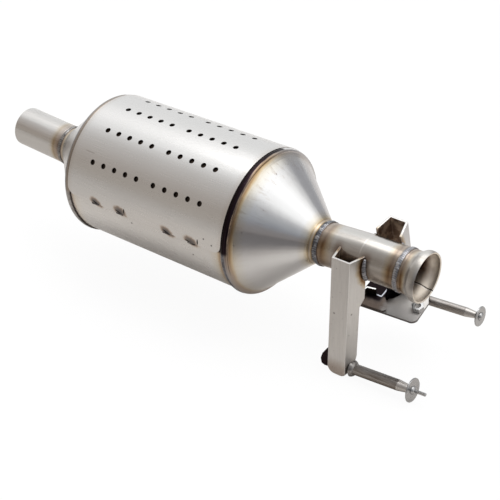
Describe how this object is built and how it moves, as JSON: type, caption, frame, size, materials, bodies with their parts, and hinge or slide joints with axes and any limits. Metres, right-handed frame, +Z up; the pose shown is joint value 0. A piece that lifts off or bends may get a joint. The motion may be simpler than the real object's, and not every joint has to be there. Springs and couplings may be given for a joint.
{
  "type": "diesel particulate filter",
  "caption": "Exhaust particulate filter: ceramic brick in a steel can with a perforated heat shield, end cones, pipes and two hanger brackets with rods.",
  "frame": {"origin": "middle of the can on its axis, half way along the ceramic brick", "axes": "+X along the can towards the outlet, +Z up with the heat shield on top, +Y to the far side"},
  "size_m": [0.5836, 0.1623, 0.2012],
  "materials": {
    "can_steel": "satin stainless sheet with a faint grain along the can",
    "cone_steel": "pressed stainless steel, half bright, heat tinted near the welds",
    "shield_steel": "thin satin stainless sheet with rows of punched holes",
    "pipe_steel": "drawn stainless tube, lightly brushed, gold and brown tint by the welds",
    "weld_steel": "rippled weld bead, blue-grey with gold and brown edges",
    "bracket_steel": "matt folded steel sheet",
    "rod_steel": "drawn bar with fine streaks along it",
    "zinc_plate": "bright zinc plated fasteners",
    "brick_ceramic": "matt grey honeycomb ceramic, alternate cells plugged",
    "mat_fibre": "pale compressed fibre mat"
  },
  "bodies": {
    "root": {"can_shell": "can_steel", "support_mat": "mat_fibre", "filter_brick": "brick_ceramic", "inlet_cone": "cone_steel", "outlet_cone": "cone_steel", "inlet_rim_weld": "weld_steel", "outlet_rim_weld": "weld_steel", "inlet_pipe": "pipe_steel", "inlet_pipe_weld": "weld_steel", "outlet_pipe": "pipe_steel", "outlet_cone_weld": "weld_steel", "outlet_flare": "pipe_steel", "outlet_flare_weld": "weld_steel", "heat_shield": "shield_steel", "shield_stitch_welds": "weld_steel", "front_bracket": "bracket_steel", "rear_bracket": "bracket_steel", "rear_foot_plate": "bracket_steel", "rear_foot_nut": "zinc_plate", "front_bracket_welds": "weld_steel", "rear_bracket_welds": "weld_steel", "front_hanger_rod": "rod_steel", "front_washer": "zinc_plate", "front_rivet": "zinc_plate", "front_rod_weld": "weld_steel", "rear_hanger_rod": "rod_steel", "rear_washer": "zinc_plate", "rear_rivet": "zinc_plate", "rear_rod_weld": "weld_steel"}
  },
  "joints": []
}
